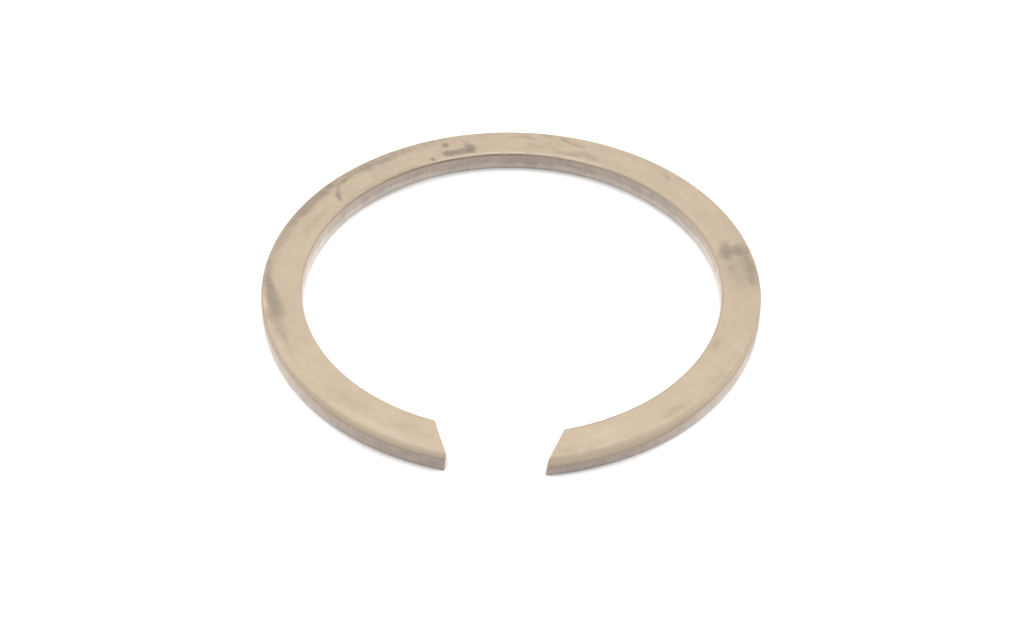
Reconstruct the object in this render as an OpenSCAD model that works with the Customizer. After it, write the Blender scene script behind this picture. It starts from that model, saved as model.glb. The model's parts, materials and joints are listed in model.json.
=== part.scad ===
// Split retaining ring of constant rectangular section, blanked from spring steel plate, lying flat
// The ring's axis is Z, the origin is at the middle of its thickness, and the gap is on the -Y side

/* [Ring] */
// Outside diameter of the ring, free of load
ring_outer_d = 84; // [70:0.5:120]
// Width of the section, from the inner rim to the outer rim
section_w = 6.5; // [4:0.1:9]
// Thickness of the plate
plate_t = 3.5; // [2.5:0.1:6]

/* [Gap] */
// Width of the gap between the sharp outer tips, before they are rounded
gap_w = 15; // [8:0.2:20]
// Lean of each end face away from the middle of the gap, so that the gap is wider inside, in degrees
end_lean = 18; // [0:1:25]

/* [Sheared edges] */
// Radius that shearing rolls onto the upper edge of the outer rim
outer_roll_r = 0.55; // [0.1:0.05:0.8]
// Radius that shearing rolls onto the upper edge of the inner rim
inner_roll_r = 0.5; // [0.1:0.05:0.8]
// Radius that shearing rolls onto the upper edge of each end face
end_roll_r = 0.3; // [0.1:0.05:0.8]
// Height of the torn band at the foot of every sheared side, below the burnished land
torn_h = 1.1; // [0.5:0.05:1.4]
// Distance that the torn band draws back into the steel at the underside
torn_in = 0.08; // [0.02:0.01:0.2]
// Radius of the lower edges, where tumbling has taken off the burr
lower_edge_r = 0.2; // [0.1:0.05:0.4]

/* [Corners] */
// Radius of the acute outer tip of each end, seen from above
tip_r = 0.2; // [0.1:0.05:0.8]
// Radius of the blunt inner heel of each end, seen from above
heel_r = 0.5; // [0.1:0.05:1.2]

/* [Hidden] */
$fn = 180;

outer_r = ring_outer_d / 2;
inner_r = outer_r - section_w;
half_t = plate_t / 2;
// How far a cutter runs past the surface that it cuts
past = 1;
// How far the round of a tip reaches past the outer rim, so that it meets the rim in one clean edge
tip_cross = 0.0002;

// Right-hand end face: a direction along it towards the inside, and one square to it into the steel
along = [sin(end_lean), cos(end_lean)];
into = [cos(end_lean), -sin(end_lean)];
tip = [gap_w / 2, -sqrt(pow(outer_r, 2) - pow(gap_w / 2, 2))];
// Distance of the end face's plane from the ring's axis
face_off = into * tip;
face_len = chord_half(outer_r, face_off) - chord_half(inner_r, face_off);
heel = tip + face_len * along;

function unit(v) = v / norm(v);

// Half the chord that a line at a distance from the centre cuts from a circle
function chord_half(radius, distance) = sqrt(pow(radius, 2) - pow(distance, 2));

// Point at a depth behind the right-hand end face and at a radius from the axis
function behind_face(depth, radius) =
    (face_off + depth) * into - chord_half(radius, face_off + depth) * along;

// Centre of a round of a given radius between two straight sides that meet at a corner
function round_centre(radius, corner, side_a, side_b) =
    corner - radius * (side_a + side_b) / (1 + side_a * side_b);

// Cutter that rounds a corner: side_a and side_b point from the round's centre square to each side
module corner_cutter(radius, centre, corner, side_a, side_b) {
    difference() {
        polygon([
            centre,
            centre + (radius + past) * side_a,
            corner + past * unit(corner - centre),
            centre + (radius + past) * side_b
        ]);
        translate(centre) circle(radius);
    }
}

// Profile cut away by shearing, for a side at X = 0 with the steel at +X: a rolled upper edge, a
// burnished upright land, a torn band that draws back, and a tumbled lower edge
module sheared_side(roll_r) {
    top_corner = [0, half_t];
    foot_corner = [torn_in, -half_t];
    torn_side = unit([-torn_h, -torn_in]);
    left = [-1, 0];
    up = [0, 1];
    translate([-past, -half_t - past]) square([past, plate_t + 2 * past]);
    polygon([
        [-past, torn_h - half_t],
        [0, torn_h - half_t],
        foot_corner + past * [torn_in / torn_h, -1],
        [-past, -half_t - past]
    ]);
    corner_cutter(roll_r, round_centre(roll_r, top_corner, left, up), top_corner, left, up);
    corner_cutter(
        lower_edge_r,
        round_centre(lower_edge_r, foot_corner, torn_side, -up),
        foot_corner,
        torn_side,
        -up
    );
}

// Section of the ring, with the inner rim at X = 0
module section() {
    difference() {
        translate([0, -half_t]) square([section_w, plate_t]);
        sheared_side(inner_roll_r);
        translate([section_w, 0]) mirror([1, 0]) sheared_side(outer_roll_r);
    }
}

// Opening between the two end faces, from inside the inner rim to outside the outer rim
module gap_cutter() {
    outer_end = tip - (tip[1] + outer_r + past) / along[1] * along;
    inner_end = heel + past * along;
    linear_extrude(height = plate_t + 2 * past, center = true)
        polygon([
            outer_end,
            inner_end,
            [-inner_end[0], inner_end[1]],
            [-outer_end[0], outer_end[1]]
        ]);
}

// Gives the right-hand end face its sheared profile
module end_face_cutter() {
    translate([tip[0], tip[1], 0])
        rotate([90, 0, -end_lean])
            translate([0, 0, -face_len - past])
                linear_extrude(height = face_len + 2 * past) sheared_side(end_roll_r);
}

// Rounds the upright corners of the right-hand end, at its outer tip and its inner heel
module end_corner_cutters() {
    tip_centre = behind_face(tip_r, outer_r - tip_r + tip_cross);
    heel_centre = behind_face(heel_r, inner_r + heel_r);
    linear_extrude(height = plate_t + 2 * past, center = true) {
        corner_cutter(tip_r, tip_centre, tip, -into, unit(tip_centre));
        corner_cutter(heel_r, heel_centre, heel, -into, -unit(heel_centre));
    }
}

module retaining_ring() {
    color([0.82, 0.74, 0.63])
        difference() {
            rotate_extrude() translate([inner_r, 0]) section();
            gap_cutter();
            for (side = [0, 1])
                mirror([side, 0, 0]) {
                    end_face_cutter();
                    end_corner_cutters();
                }
        }
}

retaining_ring();
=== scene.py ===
import json
import math

import bmesh
import bpy
import numpy as np
from mathutils import Matrix, Vector


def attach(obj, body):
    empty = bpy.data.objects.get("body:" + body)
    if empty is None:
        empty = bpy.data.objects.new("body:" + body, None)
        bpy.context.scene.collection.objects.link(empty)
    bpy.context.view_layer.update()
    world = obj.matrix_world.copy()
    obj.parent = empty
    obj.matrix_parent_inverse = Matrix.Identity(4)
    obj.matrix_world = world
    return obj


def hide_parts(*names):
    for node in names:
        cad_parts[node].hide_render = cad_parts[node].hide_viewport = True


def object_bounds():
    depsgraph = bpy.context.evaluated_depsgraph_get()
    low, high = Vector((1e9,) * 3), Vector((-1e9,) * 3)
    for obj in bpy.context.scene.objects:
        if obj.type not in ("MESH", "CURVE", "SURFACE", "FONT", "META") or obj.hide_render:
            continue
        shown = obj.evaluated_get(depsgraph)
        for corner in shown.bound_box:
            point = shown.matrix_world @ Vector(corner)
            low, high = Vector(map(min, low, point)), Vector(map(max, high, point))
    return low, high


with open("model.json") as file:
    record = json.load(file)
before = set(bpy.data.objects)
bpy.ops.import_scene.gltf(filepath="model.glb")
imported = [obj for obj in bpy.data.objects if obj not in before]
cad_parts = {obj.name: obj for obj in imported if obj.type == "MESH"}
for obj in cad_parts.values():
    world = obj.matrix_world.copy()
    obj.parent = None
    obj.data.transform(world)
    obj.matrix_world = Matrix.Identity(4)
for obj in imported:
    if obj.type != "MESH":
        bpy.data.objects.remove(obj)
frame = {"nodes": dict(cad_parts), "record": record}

# A split retaining ring of straw-coloured spring steel, lying on a white studio floor.
# The dictionaries give lengths in millimetres and angles in degrees, unless a note says otherwise.
cadLow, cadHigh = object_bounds()
mm = 0.001
tiny = 1e-6                  # heights that differ by less count as the same
shaftGrip = next(m for m in frame["record"]["mounts"] if m["name"] == "shaft_grip")
print("frame loaded:", ", ".join(frame["nodes"]))


# Camera

photoView = {
    "imageW": 1024,          # pixels
    "imageH": 622,
    "sensorW": 36.0,
    "focalPixels": 1852.5,   # focal length, in pixels of the image
    "elevation": 41.49,
    "azimuth": 2.9,          # towards +X from straight in front of the gap
    "distance": 314.9,       # from the middle of the ring's underside
    "roll": -0.533,
    "middleX": 511.06,       # pixel where the middle of the underside shows
    "middleY": 295.78,
    "clip": (0.01, 20.0),    # metres
}


def makeCamera(view):
    # stands on a sphere round the middle of the underside, looks at it, rolls about that line, and
    # then swings until the middle shows at its pixel
    middle = Vector((0, 0, cadLow.z))
    azimuth, elevation = math.radians(view["azimuth"]), math.radians(view["elevation"])
    back = Vector((
        math.sin(azimuth) * math.cos(elevation),
        -math.cos(azimuth) * math.cos(elevation),
        math.sin(elevation),
    ))
    right = Vector((0, 0, 1)).cross(back).normalized()
    look = Matrix((right, back.cross(right), back))
    roll = Matrix.Rotation(math.radians(view["roll"]), 3, "Z")
    offX = (view["middleX"] - view["imageW"] / 2) / view["focalPixels"]
    offY = (view["imageH"] / 2 - view["middleY"]) / view["focalPixels"]
    swing = Vector((0, 0, -1)).rotation_difference(Vector((offX, offY, -1))).to_matrix()
    data = bpy.data.cameras.new("photoCamera")
    data.lens = view["focalPixels"] / view["imageW"] * view["sensorW"]
    data.sensor_width = view["sensorW"]
    data.clip_start, data.clip_end = view["clip"]
    camera = bpy.data.objects.new("photoCamera", data)
    place = (swing @ roll @ look).transposed().to_4x4()
    place.translation = middle + back * view["distance"] * mm
    camera.matrix_world = place
    bpy.context.scene.collection.objects.link(camera)
    bpy.context.scene.camera = camera


makeCamera(photoView)
print("camera made")


# Shader helpers

def addNode(tree, kind, settings=None, **values):
    # a node with its settings, and its inputs set to values or linked to other nodes' outputs: an
    # input is named by its label, or by its number as in0, in1 and so on
    node = tree.nodes.new(kind)
    for name, value in (settings or {}).items():
        setattr(node, name, value)
    for name, value in values.items():
        socket = node.inputs[int(name[2:]) if name.startswith("in") else name]
        if isinstance(value, bpy.types.NodeSocket):
            tree.links.new(value, socket)
        else:
            socket.default_value = value
    return node


def maths(tree, operation, first, second=0.0, third=0.0):
    # a calculation with up to three values
    settings = {"operation": operation}
    return addNode(tree, "ShaderNodeMath", settings, in0=first, in1=second, in2=third).outputs[0]


def ramp(tree, value, low, high, toLow=0.0, toHigh=1.0):
    # an S-shaped step from toLow to toHigh, while the value goes from low to high
    settings = {"interpolation_type": "SMOOTHSTEP"}
    span = {"in1": low, "in2": high, "in3": toLow, "in4": toHigh}
    return addNode(tree, "ShaderNodeMapRange", settings, in0=value, **span).outputs[0]


def mixed(tree, share, first, second):
    # the first value where the share is 0, the second where it is 1, and a straight blend between
    settings = {"data_type": "FLOAT"}
    return addNode(tree, "ShaderNodeMix", settings, in0=share, in2=first, in3=second).outputs[0]


def blend(tree, share, first, second, how="MIX"):
    # the same for two colours, or their product where how says so
    settings = {"data_type": "RGBA", "blend_type": how}
    return addNode(tree, "ShaderNodeMix", settings, in0=share, in6=first, in7=second).outputs[2]


def shade(tree, first, level):
    # the colour times a level
    grey = addNode(tree, "ShaderNodeCombineXYZ", in0=level, in1=level, in2=level).outputs[0]
    return blend(tree, 1.0, first, grey, "MULTIPLY")


# Ring: its shape

ring = {
    "outerR": cadHigh.x / mm,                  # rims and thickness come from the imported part
    "innerR": shaftGrip["dims"]["r_mm"],
    "halfT": (cadHigh.z - cadLow.z) / 2 / mm,
    "gapW": 15.0,            # between the sharp outer tips
    "endSlant": 18.0,        # of each end face, so that the gap is wider inside
    # How far shearing rolled the upper edges. The rows give the angle from the gap, then inwards and
    # downwards at the outer edge, inwards and downwards at the inner edge, and how far the inner rim
    # lies inside its circle.
    "rolls": (
        (10, 0.9, 1.6, 0.7, 0.65, -0.12),
        (36, 0.9, 1.5, 0.6, 0.55, -0.06),
        (54, 0.75, 1.05, 0.5, 0.5, 0.01),
        (95, 0.25, 0.3, 0.45, 0.42, 0.04),
        (180, 0.25, 0.3, 0.45, 0.42, 0.0),
        (222, 0.27, 0.32, 0.4, 0.4, 0.07),
        (265, 0.3, 0.35, 0.3, 0.36, 0.25),
        (300, 0.6, 0.65, 0.06, 0.1, 0.26),
        (325, 0.85, 0.9, 0.06, 0.1, 0.26),
        (350, 0.9, 0.9, 0.06, 0.1, 0.24),
    ),
    "tornH": 1.1,            # height of the torn band at the foot of the sides
    "tornIn": 0.08,          # how far it draws back at the underside
    "tornSink": 0.012,       # how far its roughness lies inside the land
    "tornFade": 0.12,        # height over which the land turns into it
    "lowerRound": 0.2,
    "tipRound": 0.2,         # seen from above
    "heelRound": 0.5,
    # Roll of each end's edges, and how far its face draws back at the top and at the foot.
    "rightEnd": {"roll": 0.35, "topIn": 0.4, "footIn": 0.0},
    "leftEnd": {"roll": 0.15, "topIn": 0.0, "footIn": 0.3},
    "endZone": 0.7,          # length behind each end face that follows the face's slant
    "weld": 0.0005,          # points closer than this are merged
    "endStations": 13,
    "bodyStations": 1130,
    "rollSteps": 9,
    "landSteps": 3,
    "tornSteps": 8,
    "footSteps": 4,
    "faceSteps": 16,
}

unevenness = {               # layers of noise: strength, length and height of the cells, and seed
    "markTurn": ((0.6, 1.3, 1.1, 11), (0.3, 0.55, 0.5, 12)),       # degrees
    "markDepth": ((0.24, 1.5, 0.9, 13), (0.1, 0.5, 0.4, 14)),
    "markMottle": ((0.14, 0.8, 0.6, 15), (0.1, 0.4, 0.35, 16)),    # share of the mark's strength
    "tornEdge": ((0.12, 2.3, 20.0, 21), (0.06, 0.6, 20.0, 22)),
    "tornRough": ((0.02, 0.55, 0.35, 31), (0.014, 0.26, 0.2, 32)),
    "landScore": ((0.004, 0.3, 3.0, 33),),
}


def cosd(angle):
    # cosine of an angle in degrees
    return np.cos(np.radians(angle))


def sind(angle):
    # sine of an angle in degrees
    return np.sin(np.radians(angle))


def smooth(share):
    # S-shaped step from 0 to 1: three times the square less twice the cube
    return share * share * (3 - 2 * share)


def valueNoise(u, v, cellU, cellV, seed, cells=512):
    # random heights from -1 to 1 at the corners of a grid of cells, joined by S-shaped steps
    heights = np.random.default_rng(seed).uniform(-1, 1, (cells, cells))
    u, v = u / cellU, v / cellV
    left, below = np.floor(u).astype(int), np.floor(v).astype(int)
    x, y = smooth(u - left), smooth(v - below)
    right, above = (left + 1) % cells, (below + 1) % cells
    left, below = left % cells, below % cells
    lower = heights[left, below] * (1 - x) + heights[right, below] * x
    upper = heights[left, above] * (1 - x) + heights[right, above] * x
    return lower * (1 - y) + upper * y


def uneven(name, u, v):
    # the sum of a name's layers of noise, each times its strength
    return sum(layer[0] * valueNoise(u, v, *layer[1:]) for layer in unevenness[name])


def faceWays():
    # seen from above, the ways along the right-hand end face towards the axis and into the metal
    slant = ring["endSlant"]
    return np.array([sind(slant), cosd(slant)]), np.array([cosd(slant), -sind(slant)])


def behindFace(depth, radius):
    # the point at a depth behind the right-hand end face and at a radius: the face's normal times
    # its distance from the axis, less the half chord along the face
    along, into = faceWays()
    tip = np.array([ring["gapW"] / 2, -math.sqrt(ring["outerR"] ** 2 - (ring["gapW"] / 2) ** 2)])
    off = into @ tip + depth
    chord = np.sqrt(radius ** 2 - off ** 2)
    return off * into[0] - chord * along[0], off * into[1] - chord * along[1]


def angleBehind(depth, radius):
    # the angle of that point from -Y towards +X
    x, y = behindFace(depth, radius)
    return np.degrees(np.arctan2(x, -y))


def roundedRadius(depth, roundR, rimR, sign):
    # radius where a plane at a depth behind the end face leaves the round between it and a rim:
    # sign is 1 for the outer tip and -1 for the inner heel
    along, into = faceWays()
    centre = np.array(behindFace(roundR, rimR - sign * roundR))
    tangent = roundR + sign * roundR * (into @ centre) / np.linalg.norm(centre)
    reach = np.sqrt(np.maximum(roundR ** 2 - (roundR - depth) ** 2, 0))
    x = centre[0] + (depth - roundR) * into[0] - sign * reach * along[0]
    y = centre[1] + (depth - roundR) * into[1] - sign * reach * along[1]
    return np.where(depth < tangent, np.hypot(x, y), rimR)


def drawBack(z):
    # how far the sides draw back at a height: nothing above the torn band, and growing evenly from
    # there to the underside
    return ring["tornIn"] * np.clip((ring["tornH"] - ring["halfT"] - z) / ring["tornH"], 0, 1)


def faceDepth(end, z):
    # how far an end face draws back at a height, changing evenly from its foot to its top
    share = (z + ring["halfT"]) / (2 * ring["halfT"])
    return end["topIn"] * share + end["footIn"] * (1 - share)


def sideProfile(inward, downward):
    # distance in from the land and height, from the upper face down to the underside: a quarter
    # ellipse, the land, the torn band and a quarter round
    halfT, lowerRound = ring["halfT"], ring["lowerRound"]
    top = np.linspace(90, 0, ring["rollSteps"] + 1)
    foot = np.linspace(0, 90, ring["footSteps"] + 1)[1:]
    land = np.linspace(halfT - downward, ring["tornH"] - halfT, ring["landSteps"] + 1)[1:]
    torn = np.linspace(ring["tornH"] - halfT, lowerRound - halfT, ring["tornSteps"] + 1)[1:]
    inset = [inward * (1 - cosd(top)), 0 * land, 0 * torn, lowerRound * (1 - cosd(foot))]
    height = [halfT - downward * (1 - sind(top)), land, torn, lowerRound * (1 - sind(foot)) - halfT]
    return np.concatenate(inset), np.concatenate(height)


def rollsAt(angle):
    # the rolled edges at an angle: an S-shaped step between the two nearest rows, and the first or
    # the last row itself near the ends
    places = np.array(ring["rolls"])
    after = np.clip(np.searchsorted(places[:, 0], angle), 1, len(places) - 1)
    start, end = places[after - 1], places[after]
    share = np.clip((angle - start[0]) / (end[0] - start[0]), 0, 1)
    return (start + (end - start) * smooth(share))[1:]


def sectionLoop(angle):
    # the ring's section as one closed loop of radius and height: down the outer side, in along the
    # underside, up the inner side and out along the upper face; side is 1, -1 or 0 for these, and
    # rolled is how far down the nearest edge was rolled
    rolls = rollsAt(angle)
    outerIn, outerZ = sideProfile(rolls[0], rolls[1])
    innerIn, innerZ = sideProfile(rolls[2], rolls[3])
    across = np.linspace(0, 1, ring["faceSteps"] + 2)[1:-1]
    footOut = ring["outerR"] - ring["lowerRound"] - ring["tornIn"]
    innerR = ring["innerR"] - rolls[4]
    footIn = innerR + ring["lowerRound"] + ring["tornIn"]
    topOut, topIn = ring["outerR"] - rolls[0], innerR + rolls[2]
    flat = np.ones_like(across)
    radius = np.concatenate([
        ring["outerR"] - outerIn,
        footOut + (footIn - footOut) * across,
        innerR + innerIn[::-1],
        topIn + (topOut - topIn) * across,
    ])
    height = np.concatenate([outerZ, -ring["halfT"] * flat, innerZ[::-1], ring["halfT"] * flat])
    side = np.concatenate([np.ones_like(outerZ), 0 * flat, -np.ones_like(innerZ), 0 * flat])
    rolled = rolls[3] + (rolls[1] - rolls[3]) * np.clip((radius - topIn) / (topOut - topIn), 0, 1)
    return radius, height, side, rolled


def endStations(end, radius, height):
    # the loop at depths that crowd towards the end face, clipped by quarter rounds at the end's
    # edges, and drawn back as the face is
    halfT, roll, low = ring["halfT"], end["roll"], ring["lowerRound"]
    depth = ring["endZone"] * np.linspace(0, 1, ring["endStations"]) ** 2
    rollDepth, lowDepth = np.minimum(depth, roll), np.minimum(depth, low)
    highest = halfT - roll + np.sqrt(roll ** 2 - (roll - rollDepth) ** 2)
    lowest = low - halfT - np.sqrt(low ** 2 - (low - lowDepth) ** 2)
    outermost = roundedRadius(depth, ring["tipRound"], radius.max(), 1)
    innermost = roundedRadius(depth, ring["heelRound"], radius.min(), -1)
    r = np.clip(radius, innermost[:, None], outermost[:, None])
    z = np.clip(height, lowest[:, None], highest[:, None])
    fade = 1 - depth[:, None] / ring["endZone"]
    return r, z, depth[:, None] + faceDepth(end, z) * fade


def coons(top, bottom, outer, inner):
    # a patch between four edges: the straight blends between both pairs of opposite edges added up,
    # less the blend between the four corners
    u = np.linspace(0, 1, len(outer))[:, None, None]
    v = np.linspace(0, 1, len(top))[None, :, None]
    sides = outer[:, None] * (1 - v) + inner[:, None] * v
    ends = top[None] * (1 - u) + bottom[None] * u
    corners = (top[0] * (1 - v) + top[-1] * v) * (1 - u) + (bottom[0] * (1 - v) + bottom[-1] * v) * u
    return sides + ends - corners


def ringPoints():
    # every vertex as an angle from -Y towards +X, a radius, a height, a side and a rolled depth, with
    # the faces: the section's loop is carried from the right end round the back to the left end, and
    # both ends are closed by a patch
    rightLoop, leftLoop = sectionLoop(0), sectionLoop(360)
    rightR, rightZ, rightDepth = endStations(ring["rightEnd"], *rightLoop[:2])
    leftR, leftZ, leftDepth = endStations(ring["leftEnd"], *leftLoop[:2])
    rightAngle = angleBehind(rightDepth, rightR)
    leftAngle = 360 - angleBehind(leftDepth, leftR)
    share = np.linspace(0, 1, ring["bodyStations"] + 2)[1:-1, None]
    bodyAngle = rightAngle[-1] * (1 - share) + leftAngle[-1] * share
    angle = np.concatenate([rightAngle, bodyAngle, leftAngle[::-1]])
    stations, around = angle.shape
    loops = [sectionLoop(middle) for middle in bodyAngle.mean(axis=1)]
    r = np.concatenate([rightR, [loop[0] for loop in loops], leftR[::-1]])
    z = np.concatenate([rightZ, [loop[1] for loop in loops], leftZ[::-1]])
    loops = [rightLoop] * len(rightR) + loops + [leftLoop] * len(leftR)
    sides = [loop[2] for loop in loops]
    rolled = [loop[3] for loop in loops]
    points = [np.stack([angle, r, z, sides, rolled], -1).reshape(-1, 5)]
    index = np.arange(stations * around).reshape(stations, around)
    onward = np.roll(index, -1, axis=1)
    faces = np.stack([index[:-1], onward[:-1], onward[1:], index[1:]], -1).reshape(-1, 4).tolist()
    count = index.size
    for end, row, flip in (("rightEnd", 0, False), ("leftEnd", -1, True)):
        patch, patchFaces = endPatch(ring[end], r[row], z[row], index[row], count, flip)
        points.append(patch)
        faces += patchFaces
        count += len(patch)
    return np.concatenate(points), faces


def endPatch(end, r, z, index, count, flip):
    # the grid that closes an end, between the four parts of the loop at that end: rows that the end's
    # rolled edges clip onto one straight line are left out, and their ends join the cells beside them
    wall, flat = len(sideProfile(1, 1)[0]), ring["faceSteps"]
    rows = np.arange(wall)
    outer, inner = rows, wall + flat + rows[::-1]
    under = np.concatenate([outer[-1:], wall + np.arange(flat), inner[-1:]])
    upper = np.concatenate([outer[:1], 2 * wall + flat + np.arange(flat)[::-1], inner[:1]])
    edge = np.stack([r, z], -1)
    heights = np.stack([z[outer], z[inner]])
    between = (heights.min(axis=0) < z.max() - tiny) & (heights.max(axis=0) > z.min() + tiny)
    between[[0, -1]] = True
    kept = np.flatnonzero(between)
    inside = coons(edge[upper], edge[under], edge[outer], edge[inner])[kept[1:-1], 1:-1]
    patchR, patchZ = inside[..., 0].ravel(), inside[..., 1].ravel()
    angle = angleBehind(faceDepth(end, patchZ), patchR)
    if flip:
        angle = 360 - angle
    grid = np.empty((len(kept), flat + 2), int)
    grid[:, 0], grid[:, -1] = index[outer[kept]], index[inner[kept]]
    grid[0], grid[-1] = index[upper], index[under]
    grid[1:-1, 1:-1] = count + np.arange(len(patchR)).reshape(-1, flat)
    cells = np.stack([grid[:-1, :-1], grid[:-1, 1:], grid[1:, 1:], grid[1:, :-1]], -1).tolist()
    for row in np.flatnonzero(np.diff(kept) > 1):
        skipped = np.arange(kept[row] + 1, kept[row + 1])
        cells[row][0] += index[outer[skipped]][::-1].tolist()
        cells[row][-1][2:2] = index[inner[skipped]].tolist()
    faces = [cell[::-1] if flip else cell for line in cells for cell in line]
    return np.stack([angle, patchR, patchZ, 0 * patchR, 0 * patchR + end["roll"]], -1), faces


# Ring: the marks on its upper face

# Each is told by its angle from the middle of the back towards the right, distance in from the outer
# rim, half length, half width, lean, softness and strength. A positive lean carries the mark inwards
# as it runs to the right, and a negative strength is a bright patch.
marks = {
    "blotLeft": (-15.1, 4.6, 1.15, 1.25, 0, 0.4, 0.95),
    "blotMiddle": (-17.9, 5.0, 1.6, 0.95, 0, 0.4, 0.8),
    "blotRight": (-20.9, 5.05, 1.15, 0.9, 0, 0.35, 0.95),
    "blotTrail": (-15.7, 3.0, 0.5, 0.9, 0, 0.9, 0.45),
    "blotFleck": (-16.2, 1.8, 0.3, 0.4, 0, 0.8, 0.3),
    "satellite": (-20.9, 2.4, 0.62, 0.52, -30, 0.45, 0.9),
    "dotAtHeel": (-26.0, 5.75, 0.5, 0.38, -20, 0.5, 0.85),
    "bandHaze": (-52.0, 1.0, 19.0, 1.1, 0, 0.9, 0.3),
    "bandStart": (-36.0, 1.7, 2.6, 0.7, 0, 0.9, 0.25),
    "bandGrey": (-39.2, 1.8, 1.4, 0.6, 10, 0.8, 0.35),
    "bandSpot": (-43.2, 1.7, 0.9, 0.95, -15, 0.7, 0.6),
    "bandThin": (-47.8, 1.2, 1.6, 0.55, 0, 0.8, 0.45),
    "bandDark": (-51.4, 1.7, 1.1, 0.5, 0, 0.6, 0.6),
    "bandRim": (-54.6, 0.8, 1.0, 0.8, 0, 0.7, 0.55),
    "bandMiddle": (-59.8, 1.2, 2.4, 0.85, 0, 0.6, 0.64),
    "bandLeft": (-66.0, 1.3, 2.4, 0.95, 0, 0.6, 0.65),
    "bandTail": (-71.6, 0.9, 1.6, 0.65, 0, 0.8, 0.5),
    "bandFade": (-79.0, 1.0, 3.6, 0.7, 0, 0.9, 0.42),
    "hookStem": (-55.5, 3.1, 2.3, 0.29, -46, 0.7, 0.6),
    "hookFoot": (-57.0, 4.1, 1.2, 0.5, -52, 0.6, 0.7),
    "smearStart": (-89.6, 0.7, 3.2, 0.42, -6, 0.8, 0.5),
    "smearUpper": (-94.6, 1.1, 2.0, 0.8, -14, 0.6, 0.66),
    "smearDeep": (-99.9, 1.9, 2.6, 1.0, -10, 0.6, 0.76),
    "smearEnd": (-104.9, 2.1, 2.0, 1.3, 0, 0.8, 0.64),
    "smearTail": (-110.5, 2.2, 2.4, 1.0, 0, 0.9, 0.38),
    "smearSpot": (-114.2, 2.2, 2.1, 0.55, 0, 0.8, 0.38),
    "smearGlint": (-100.9, 0.4, 2.0, 0.5, 0, 0.6, -0.7),
    "rimLine": (-46.0, 6.2, 11.5, 0.22, 0, 0.5, 0.35),
    "shadeA": (-119.9, 2.0, 2.2, 0.4, 0, 0.9, 0.2),
    "shadeB": (-66.5, 4.3, 2.6, 0.6, 0, 0.9, 0.15),
    "shadeC": (-72.9, 4.4, 1.4, 0.6, 0, 0.9, 0.2),
    "shadeD": (-140.4, 3.6, 4.2, 1.1, 0, 0.9, 0.13),
    "shadeE": (-157.9, 3.9, 1.1, 0.6, 0, 0.9, 0.15),
    "shadeF": (-163.5, 3.2, 1.2, 0.5, 0, 0.9, 0.22),
    "frontGlint": (-153.0, 1.6, 7.0, 0.75, 0, 0.9, -0.5),
    "rightTipShade": (164.6, 1.5, 1.5, 0.7, 0, 0.9, 0.3),
    "rightGlint": (154.6, 3.6, 3.4, 1.3, 0, 0.9, -0.4),
    "shadeG": (137.0, 1.9, 2.0, 0.5, 0, 0.9, 0.3),
    "shadeH": (122.0, 1.6, 2.6, 0.6, 0, 0.9, 0.17),
    "shadeI": (111.6, 5.3, 2.0, 0.55, 0, 0.9, 0.27),
    "shadeJ": (103.1, 1.1, 0.9, 0.45, 0, 0.9, 0.22),
    "patchHaze": (81.5, 2.8, 5.2, 3.0, 0, 0.6, 0.32),
    "patchRim": (84.4, 1.15, 2.4, 1.0, 0, 0.7, 0.5),
    "patchBridge": (79.2, 1.15, 2.4, 0.95, 0, 0.8, 0.52),
    "patchColumn": (74.9, 1.7, 1.2, 1.9, 0, 0.5, 0.66),
    "patchBlob": (74.2, 4.1, 1.9, 0.95, 8, 0.55, 0.7),
    "patchTail": (76.4, 5.1, 0.8, 0.9, 30, 0.8, 0.5),
    "patchSpot": (81.9, 4.4, 0.9, 0.45, 0, 0.7, 0.35),
    "rightFleck": (59.0, 4.5, 0.8, 0.7, 0, 0.9, 0.18),
    "streak": (40.9, 2.0, 1.5, 0.42, 32, 0.8, 0.42),
    "backGlint": (29.0, 3.0, 6.5, 1.6, 0, 0.9, -0.4),
    "chainA": (13.8, 2.05, 2.0, 0.28, 11, 0.7, 0.5),
    "chainB": (10.8, 1.25, 0.5, 0.5, 0, 0.6, 0.65),
    "chainC": (7.8, 1.2, 0.6, 0.3, 0, 0.8, 0.4),
    "chainD": (5.9, 0.65, 0.9, 0.32, 18, 0.7, 0.55),
    "arcRight": (1.8, 1.95, 1.4, 0.36, 17, 0.7, 0.5),
    "arcLeft": (-1.4, 1.6, 1.3, 0.34, 3, 0.7, 0.42),
    "smudgeRight": (20.4, 4.7, 1.3, 0.5, 0, 0.8, 0.5),
    "smudgeMiddle": (17.0, 4.2, 1.3, 0.55, -15, 0.8, 0.48),
    "smudgeLow": (13.1, 5.2, 2.6, 0.45, 0, 0.8, 0.5),
}

# Rows of small marks, from one angle and distance in to another.
markRows = {
    "rimSpeckle": {
        "count": 16, "strength": 0.45, "from": (-21, 0.35), "to": (-63, 0.5), "size": (0.7, 0.34),
    },
    "bandSpeckle": {
        "count": 12, "strength": 0.42, "from": (-27, 1.1), "to": (-47, 1.4), "size": (0.35, 0.7),
    },
    "ripples": {
        "count": 7, "strength": 0.15, "from": (1.8, 4.0), "to": (8.8, 4.2), "size": (0.42, 0.55),
    },
}

scatter = {
    "seed": 40,              # of the first row
    "shift": (0.5, 0.15),    # at most, in degrees and in millimetres
    "strength": (0.6, 1.2),  # times the row's own
    "softness": 0.8,
}


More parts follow.
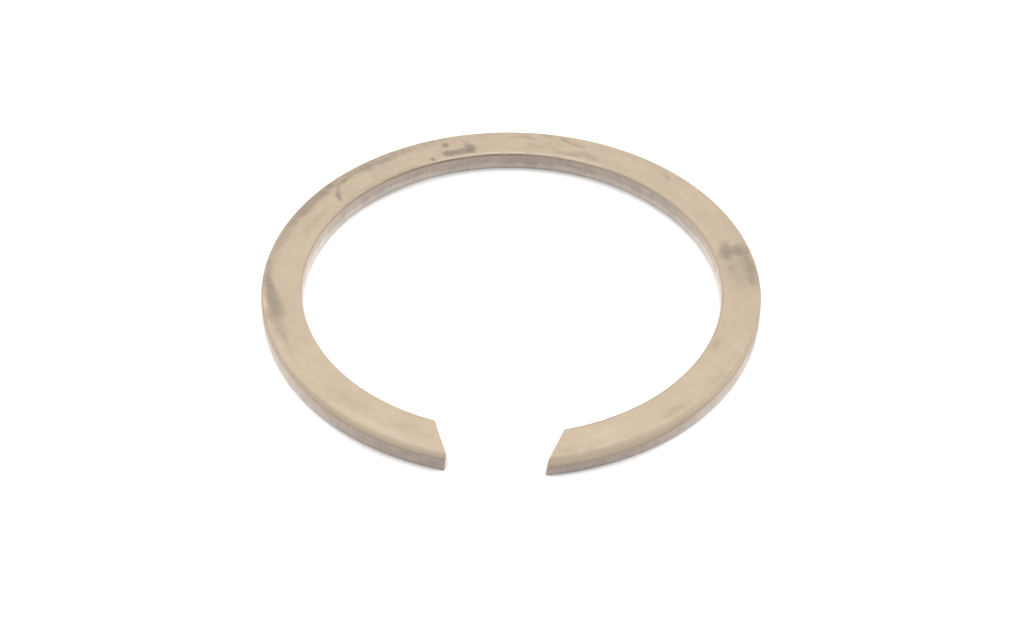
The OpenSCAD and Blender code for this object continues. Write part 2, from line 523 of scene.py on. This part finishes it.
def scatteredMarks():
    # the marks of all rows, at even distances along each row but for a small random shift
    spots = []
    for number, row in enumerate(markRows.values()):
        pick = np.random.default_rng(scatter["seed"] + number)
        for share in np.linspace(0, 1, row["count"]):
            place = np.array(row["from"]) * (1 - share) + np.array(row["to"]) * share
            place = place + pick.uniform(-1, 1, 2) * scatter["shift"]
            strength = row["strength"] * pick.uniform(*scatter["strength"])
            spots.append((*place, *row["size"], 0, scatter["softness"], strength))
    return spots


def markField(angle, r, z):
    # at each point of the upper face all marks laid over one another, less the strongest bright
    # patch: a mark is full inside its ellipse and fades out across the softness on both sides of
    # its edge
    turn = 180 - angle
    depth = ring["outerR"] - r
    along = np.radians(turn) * ring["outerR"]
    turn = turn + uneven("markTurn", along, depth)
    depth = depth + uneven("markDepth", along, depth)
    middleR = (ring["outerR"] + ring["innerR"]) / 2
    dark, bright = np.zeros_like(r), np.zeros_like(r)
    spots = [*marks.values(), *scatteredMarks()]
    for at, inwards, halfLength, halfWidth, lean, softness, strength in spots:
        u, v = np.radians(turn - at) * middleR, depth - inwards
        across = -u * sind(lean) + v * cosd(lean)
        u = u * cosd(lean) + v * sind(lean)
        reach = np.hypot(u / halfLength, across / halfWidth)
        fade = smooth(np.clip((1 + softness - reach) / (2 * softness), 0, 1)) * abs(strength)
        if strength > 0:
            dark = 1 - (1 - dark) * (1 - fade)
        else:
            bright = np.maximum(bright, fade)
    mottle = 1 + uneven("markMottle", along, depth)
    return np.where(z > 0, dark * mottle - bright, 0)


def tornShare(angle, r, z):
    # 1 in the torn band and 0 on the land above, with an edge that wanders
    wander = uneven("tornEdge", np.radians(angle) * r, r)
    return np.clip((ring["tornH"] - ring["halfT"] + wander - z) / ring["tornFade"] + 0.5, 0, 1)


def sideRelief(angle, r, z, torn):
    # the torn band is rough, the land has fine upright score marks, both in millimetres outwards
    along = np.radians(angle) * r
    rough = uneven("tornRough", along, z) - ring["tornSink"]
    return torn * rough + (1 - torn) * uneven("landScore", along, z)


def makeRing():
    # the points of both sides are moved outwards by their relief, less the torn band's draw-back
    points, faces = ringPoints()
    angle, r, z, side, rolled = points.T
    torn = tornShare(angle, r, z)
    marked = markField(angle, r, z)
    upright = abs(z) < ring["halfT"] - tiny
    relief = sideRelief(angle, r, z, torn) - drawBack(z)
    r = r + side * upright * relief
    places = np.stack([r * sind(angle), -r * cosd(angle), z], -1) * mm
    mesh = bpy.data.meshes.new("retainingRing")
    mesh.from_pydata(places.tolist(), [], faces)
    for name, values in (("torn", torn), ("marked", marked), ("rolled", rolled)):
        mesh.attributes.new(name, "FLOAT", "POINT").data.foreach_set("value", values.astype(np.float32))
    ringObject = bpy.data.objects.new("retainingRing", mesh)
    bpy.context.scene.collection.objects.link(ringObject)
    weldAndSmooth(mesh)
    return ringObject


def weldAndSmooth(mesh):
    # the ends' clipped corners bring points together, which are merged, and every face is smooth
    work = bmesh.new()
    work.from_mesh(mesh)
    bmesh.ops.remove_doubles(work, verts=work.verts, dist=ring["weld"] * mm)
    bmesh.ops.dissolve_degenerate(work, edges=work.edges, dist=ring["weld"] * mm)
    work.to_mesh(mesh)
    work.free()
    mesh.polygons.foreach_set("use_smooth", np.ones(len(mesh.polygons), bool))
    mesh.update()


ringObject = makeRing()
print("ring made:", len(ringObject.data.polygons), "faces")


# Ring: its steel

steel = {
    # Linear colours.
    "faceColour": (0.617, 0.496, 0.37),    # straw-coloured upper face
    "faceDeep": (0.535, 0.43, 0.32),       # its clouds, and their other hue
    "faceGreen": (0.555, 0.465, 0.338),
    "markColour": (0.345, 0.29, 0.23),
    "glintColour": (0.7, 0.57, 0.435),     # bright patches
    "rollColour": (0.44, 0.36, 0.275),     # where the straw tint runs down over the rolled edges
    "rubbedColour": (0.69, 0.585, 0.475),  # painted highlight on the inner rolled edge at the back
    "seamColour": (0.25, 0.185, 0.13),     # painted brown line of shade at the foot of the rolled edges
    "landColour": (0.5, 0.42, 0.362),      # burnished part of the sheared sides
    "tornColour": (0.68, 0.612, 0.55),     # torn part at their foot, lightened in part as painted light
    "sideGloss": 0.15,                     # of what isn't bare metal
    "rollSpread": 0.35,                    # how soon the tint darkens down the rolled edges
    "seamWander": 0.16,                    # how far the painted line of shade wanders up and down, in all
    "bump": {"grain": 0.6, "score": 0.4, "strength": 0.12, "height": 0.02},
    # Scale per millimetre, detail, roughness and how far each noise is squeezed upwards.
    "noises": {
        "clouds": (0.22, 4.0, 0.55, 1.0),
        "tint": (0.09, 2.0, 0.5, 1.0),
        "speckle": (0.9, 4.0, 0.65, 1.0),
        "grain": (3.2, 3.0, 0.6, 1.0),
        "patches": (0.5, 3.0, 0.6, 1.0),
        "score": (2.6, 3.0, 0.6, 0.08),
    },
    # S-shaped steps: the value at which each starts and ends, and the results there.
    "steps": {
        "clouds": (0.35, 0.68, 0.0, 0.5),
        "tint": (0.4, 0.62, 0.0, 0.35),
        "speckle": (0.3, 0.7, 0.96, 1.04),
        "glint": (0.0, -1.0, 0.0, 1.0),
        "outward": (3.6, 2.9, 0.0, 1.0),       # distance in from the outer rim: 1 where that is near
        "tornPale": (0.0, 1.0, 1.0, 0.35),     # share of the torn band's colour, by the one above: full inside as painted light
        "streaks": (0.35, 0.65, 0.9, 1.08),
        "outerTone": (152.0, 122.0, 0.86, 1.12),   # painted light and shade on the outer side, by the angle from the back
        "outerShade": (112.0, 97.0, 0.0, 0.32),    # painted shade, taken off the one above
        # painted light and shade on the inner side, by the angle from the back
        "innerTone": (48.0, 84.0, 0.88, 1.2),
        # painted light and shade on the outer rolled edge, by the angle from the back
        "rollTone": (168.0, 132.0, 1.1, 0.89),
        "rollStart": (1.0, 0.97, 0.0, 1.0),    # by how far the surface faces up
        "rubbedStart": (1.0, 0.96, 0.0, 1.0),  # the same, for the painted highlight
        "rubbedBack": (34.0, 16.0, 0.0, 1.0),  # by the angle from the back
        "rubbedPatches": (0.3, 0.6, 0.3, 0.9),
        "sideStart": (-0.1, 0.12, 0.0, 1.0),   # by the distance below the foot of the rolled edges
        "sideUpright": (0.8, 0.5, 0.0, 1.0),   # by how far the surface faces up
        # the painted line of shade where the rolled edges meet the sides:
        "seamWidth": (0.28, 0.1, 0.0, 1.0),    # by the distance above or below that foot
        "seamUpright": (0.9, 0.6, 0.0, 1.0),   # by how far the surface faces up
        "outerSeam": (122.0, 140.0, 0.0, 0.35),    # by the angle from the back
        "innerSeam": (75.0, 20.0, 0.5, 1.0),
        "leftSeam": (30.0, -15.0, 0.5, 1.0),   # by that angle, positive towards the right
        "seamPatches": (0.3, 0.62, 0.6, 1.0),
        "faceRough": (0.0, 1.0, 0.36, 0.5),    # by the marks
        "grainRough": (0.2, 0.8, -0.04, 0.05),
        "sideRough": (0.0, 1.0, 0.55, 0.65),   # by the torn band
        "bent": (0.96, 0.8, 0.0, 1.0),         # where the surface turns down off the face
        "bareMetal": (0.0, 1.0, 1.0, 0.3),     # share on the face, and on the oxidised sides
    },
}


def colour(name):
    # a colour of the steel, opaque
    return (*steel[name], 1.0)


def step(tree, value, name):
    # one of the steel's S-shaped steps
    return ramp(tree, value, *steel["steps"][name])


def placeGroup():
    # from a point of the ring in metres: distance in from the outer rim, distance below the upper
    # face, and angle from the back in degrees
    group = bpy.data.node_groups.new("ringPlace", "ShaderNodeTree")
    group.interface.new_socket("Point", in_out="INPUT", socket_type="NodeSocketVector")
    for label in ("Inwards", "Below", "Turn"):
        group.interface.new_socket(label, in_out="OUTPUT", socket_type="NodeSocketFloat")
    point = group.nodes.new("NodeGroupInput").outputs["Point"]
    x, y, z = addNode(group, "ShaderNodeSeparateXYZ", in0=scaledPoint(group, point)).outputs
    flat = addNode(group, "ShaderNodeCombineXYZ", in0=x, in1=y).outputs[0]
    radius = addNode(group, "ShaderNodeVectorMath", {"operation": "LENGTH"}, in0=flat).outputs["Value"]
    results = {
        "Inwards": maths(group, "SUBTRACT", ring["outerR"], radius),
        "Below": maths(group, "SUBTRACT", ring["halfT"], z),
        "Turn": maths(group, "DEGREES", maths(group, "ARCTAN2", x, y)),
    }
    addNode(group, "NodeGroupOutput", **results)
    return group


def scaledPoint(tree, point, squeeze=1.0):
    # the point in millimetres, with its height times the squeeze
    scale = {"in1": (1 / mm, 1 / mm, squeeze / mm)}
    return addNode(tree, "ShaderNodeVectorMath", {"operation": "MULTIPLY"}, in0=point, **scale).outputs[0]


def surfaceValues(tree):
    # what the look depends on at each point: the place on the ring, which side is near, how far the
    # surface faces up or down, the values that the mesh carries, and the noises
    coords = tree.nodes.new("ShaderNodeTexCoord").outputs
    group = {"node_tree": placeGroup()}
    place = addNode(tree, "ShaderNodeGroup", group, Point=coords["Object"]).outputs
    normal = addNode(tree, "ShaderNodeSeparateXYZ", in0=coords["Normal"]).outputs
    values = {
        "below": place["Below"],
        "turn": place["Turn"],
        "aside": maths(tree, "ABSOLUTE", place["Turn"]),
        "outward": step(tree, place["Inwards"], "outward"),
        "upward": maths(tree, "ABSOLUTE", normal[2]),
    }
    for name in ("torn", "marked", "rolled"):
        values[name] = addNode(tree, "ShaderNodeAttribute", {"attribute_name": name}).outputs["Fac"]
    for name, (scale, detail, rough, squeeze) in steel["noises"].items():
        inputs = {"Scale": scale, "Detail": detail, "Roughness": rough}
        vector = scaledPoint(tree, coords["Object"], squeeze)
        values[name] = addNode(tree, "ShaderNodeTexNoise", Vector=vector, **inputs).outputs["Fac"]
    return values


def faceTint(tree, at):
    # upper and lower faces: clouds of two hues and fine speckle, then the marks and bright patches
    face = blend(tree, step(tree, at["clouds"], "clouds"), colour("faceColour"), colour("faceDeep"))
    face = blend(tree, step(tree, at["tint"], "tint"), face, colour("faceGreen"))
    face = shade(tree, face, step(tree, at["speckle"], "speckle"))
    face = blend(tree, at["marked"], face, colour("markColour"))
    return blend(tree, step(tree, at["marked"], "glint"), face, colour("glintColour"))


def sideTint(tree, at):
    # sheared sides: burnished land over the torn band, which is paler inside, partly as painted light,
    # with upright score marks, and painted light and shade that change round the ring
    # the torn band is paler inside, partly as painted light
    pale = maths(tree, "MULTIPLY", at["torn"], step(tree, at["outward"], "tornPale"))
    side = blend(tree, pale, colour("landColour"), colour("tornColour"))
    streaks = maths(tree, "MULTIPLY", maths(tree, "ADD", at["score"], at["patches"]), 0.5)
    side = shade(tree, side, step(tree, streaks, "streaks"))
    # painted light and shade round the ring, by the angle from the back
    outerTone = step(tree, at["aside"], "outerTone")
    outerTone = maths(tree, "SUBTRACT", outerTone, step(tree, at["aside"], "outerShade"))
    return shade(tree, side, mixed(tree, at["outward"], step(tree, at["aside"], "innerTone"), outerTone))


def rolledTint(tree, at, face):
    # rolled upper edges: the face's tint darkens down them by a power of the share of their depth, with
    # painted light and shade that change round the ring, and a painted highlight on the inner edge at the
    # back
    downRoll = maths(tree, "DIVIDE", at["below"], at["rolled"])
    downRoll = maths(tree, "POWER", downRoll, steel["rollSpread"])
    downRoll = maths(tree, "MULTIPLY", downRoll, step(tree, at["upward"], "rollStart"))
    # painted light and shade on the outer rolled edge, by the angle from the back
    tone = ramp(tree, at["outward"], 0.0, 1.0, 1.0, step(tree, at["aside"], "rollTone"))
    rolled = blend(tree, downRoll, face, shade(tree, colour("rollColour"), tone))
    # painted highlight along the inner rolled edge at the back
    edgeHighlight = maths(tree, "SUBTRACT", step(tree, at["aside"], "rubbedBack"), at["outward"])
    edgeHighlight = maths(tree, "MAXIMUM", edgeHighlight, 0.0)
    edgeHighlight = maths(tree, "MULTIPLY", edgeHighlight, step(tree, at["upward"], "rubbedStart"))
    edgeHighlight = maths(tree, "MULTIPLY", edgeHighlight, step(tree, at["patches"], "rubbedPatches"))
    return blend(tree, edgeHighlight, rolled, colour("rubbedColour"))


def shadeLine(tree, at, past):
    # strength of the painted line of shade where the rolled edges end: it fades towards the sides, and
    # breaks up in patches
    inside, outside = step(tree, at["aside"], "innerSeam"), step(tree, at["aside"], "outerSeam")
    inside = maths(tree, "MULTIPLY", inside, step(tree, at["turn"], "leftSeam"))
    strength = mixed(tree, at["outward"], inside, outside)
    strength = maths(tree, "MULTIPLY", strength, step(tree, at["patches"], "seamPatches"))
    line = maths(tree, "MULTIPLY", step(tree, maths(tree, "ABSOLUTE", past), "seamWidth"), strength)
    return maths(tree, "MULTIPLY", line, step(tree, at["upward"], "seamUpright"))


def steelFinish(tree, at, isSide):
    # roughness, share of bare metal and bump: duller where marked, grainy and torn
    faceRough = step(tree, at["marked"], "faceRough")
    faceRough = maths(tree, "ADD", faceRough, step(tree, at["grain"], "grainRough"))
    bent = maths(tree, "MAXIMUM", isSide, step(tree, at["upward"], "bent"))
    rough = mixed(tree, bent, faceRough, step(tree, at["torn"], "sideRough"))
    bump = steel["bump"]
    grain = maths(tree, "MULTIPLY", at["grain"], bump["grain"])
    height = maths(tree, "MULTIPLY_ADD", at["score"], bump["score"], grain)
    size = {"Strength": bump["strength"], "Distance": bump["height"] * mm}
    normal = addNode(tree, "ShaderNodeBump", Height=height, **size).outputs[0]
    return rough, step(tree, bent, "bareMetal"), normal


def makeSteel():
    # the sides start where the height below the upper face passes the depth that was rolled down
    material = bpy.data.materials.new("springSteel")
    material.use_nodes = True
    tree = material.node_tree
    surface = tree.nodes["Principled BSDF"]
    surface.inputs["Specular IOR Level"].default_value = steel["sideGloss"]
    at = surfaceValues(tree)
    wander = maths(tree, "MULTIPLY_ADD", at["patches"], steel["seamWander"], -steel["seamWander"] / 2)
    past = maths(tree, "SUBTRACT", maths(tree, "ADD", at["below"], wander), at["rolled"])
    isSide = step(tree, past, "sideStart")
    isSide = maths(tree, "MULTIPLY", isSide, step(tree, at["upward"], "sideUpright"))
    tint = blend(tree, isSide, rolledTint(tree, at, faceTint(tree, at)), sideTint(tree, at))
    # painted line of shade where the rolled edges meet the sides
    tint = blend(tree, shadeLine(tree, at, past), tint, colour("seamColour"))
    rough, metal, normal = steelFinish(tree, at, isSide)
    results = {"Base Color": tint, "Roughness": rough, "Metallic": metal, "Normal": normal}
    for name, socket in results.items():
        tree.links.new(socket, surface.inputs[name])
    return material


springSteel = makeSteel()
ringObject.data.materials.append(springSteel)
for node in frame["nodes"].values():
    node.data.materials.clear()
    node.data.materials.append(springSteel)
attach(ringObject, "root")
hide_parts("retaining_ring")
print("steel made")


# Studio

studio = {
    "floorSize": 4.0,          # metres, as are the lamps' places and sizes
    "floorColour": (0.65, 0.65, 0.65, 1.0),
    "floorGlow": 0.62,         # seen by the camera and in the steel, and taken away close to the ring's foot as a painted shadow
    "glowReach": 0.006,        # how far the floor looks for the ring, in metres
    "glowOpen": (0.5, 0.72),   # shares of open sky at which the glow starts and is full
    "glowAside": (0.018, 0.04, 0.0, 0.13),   # metres from the middle to both sides, where painted light weakens the painted shadow, and what they add to that share
                                             # comes in, and what they add to that share
    "worldSeen": 1.0,          # by the camera and in the steel
    "worldLight": 0.86,        # falling on the steel and the floor
    "frontLight": 0.08,        # low in front, where the room behind the camera is dark
    "frontAcross": (0.86, 0.6),    # edges of that dark part: to both sides,
    "frontAlong": (0.05, -0.5),    # towards the front
    "frontHeight": (0.55, 0.35),   # and upwards
    "lamps": {                 # the side lamps are not mirrored, as they would bleach the upper face
        "ceiling": {"at": (0.0, 0.235, 0.58), "size": 0.6, "glow": 0.25, "mirrored": True},
        "leftSide": {"at": (-0.66, 0.0, 0.24), "size": 0.5, "glow": 3.9, "mirrored": False},
        "rightSide": {"at": (0.66, 0.0, 0.24), "size": 0.5, "glow": 3.9, "mirrored": False},
    },
}


def seenRays(tree):
    # 1 for rays from the camera, mirrored by gloss or passed on, 0 for the light that falls on things
    rays = tree.nodes.new("ShaderNodeLightPath").outputs
    seen = maths(tree, "MAXIMUM", rays["Is Camera Ray"], rays["Is Glossy Ray"])
    return maths(tree, "MAXIMUM", seen, rays["Is Transmission Ray"])


def makeFloor():
    # a flat square at the height of the ring's underside, which glows but for a painted shadow round the
    # ring's foot
    half = studio["floorSize"] / 2
    corners = [(x * half, y * half, cadLow.z) for x, y in ((-1, -1), (1, -1), (1, 1), (-1, 1))]
    mesh = bpy.data.meshes.new("floor")
    mesh.from_pydata(corners, [], [(0, 1, 2, 3)])
    floor = bpy.data.objects.new("floor", mesh)
    bpy.context.scene.collection.objects.link(floor)
    material = bpy.data.materials.new("whiteFloor")
    material.use_nodes = True
    tree = material.node_tree
    surface = tree.nodes["Principled BSDF"]
    surface.inputs["Base Color"].default_value = studio["floorColour"]
    surface.inputs["Roughness"].default_value = 1.0
    surface.inputs["Specular IOR Level"].default_value = 0.0
    surface.inputs["Emission Color"].default_value = (1, 1, 1, 1)
    sky = addNode(tree, "ShaderNodeAmbientOcclusion", {"samples": 8}, Distance=studio["glowReach"])
    coords = tree.nodes.new("ShaderNodeTexCoord")
    across = addNode(tree, "ShaderNodeSeparateXYZ", in0=coords.outputs["Object"]).outputs[0]
    aside = ramp(tree, maths(tree, "ABSOLUTE", across), *studio["glowAside"])
    sky = maths(tree, "ADD", sky.outputs["AO"], aside)
    glow = ramp(tree, sky, *studio["glowOpen"], 0.0, studio["floorGlow"])
    glow = maths(tree, "MULTIPLY", seenRays(tree), glow)
    tree.links.new(glow, surface.inputs["Emission Strength"])
    mesh.materials.append(material)


def makeWorld():
    # white to the camera and in the steel, and a plain soft light that is dimmer low in front
    world = bpy.data.worlds.new("whiteRoom")
    world.use_nodes = True
    tree = world.node_tree
    background = tree.nodes["Background"]
    background.inputs["Color"].default_value = (1, 1, 1, 1)
    coords = tree.nodes.new("ShaderNodeTexCoord")
    way = addNode(tree, "ShaderNodeSeparateXYZ", in0=coords.outputs["Generated"]).outputs
    front = ramp(tree, maths(tree, "ABSOLUTE", way[0]), *studio["frontAcross"])
    front = maths(tree, "MULTIPLY", front, ramp(tree, way[1], *studio["frontAlong"]))
    front = maths(tree, "MULTIPLY", front, ramp(tree, way[2], *studio["frontHeight"]))
    light = ramp(tree, front, 0.0, 1.0, studio["worldLight"], studio["frontLight"])
    shown = mixed(tree, seenRays(tree), light, studio["worldSeen"])
    tree.links.new(shown, background.inputs["Strength"])
    bpy.context.scene.world = world


def makeLamps():
    # each square lamp faces the ring, and its power is its glow times its area times pi
    for name, lamp in studio["lamps"].items():
        data = bpy.data.lights.new(name, "AREA")
        data.shape = "SQUARE"
        data.size = lamp["size"]
        data.energy = lamp["glow"] * lamp["size"] ** 2 * math.pi
        light = bpy.data.objects.new(name, data)
        light.location = lamp["at"]
        light.visible_glossy = lamp["mirrored"]
        light.rotation_mode = "QUATERNION"
        light.rotation_quaternion = (-Vector(lamp["at"])).to_track_quat("-Z", "Y")
        bpy.context.scene.collection.objects.link(light)


makeFloor()
makeWorld()
makeLamps()
bpy.context.scene.view_settings.view_transform = "Standard"
print("studio made")
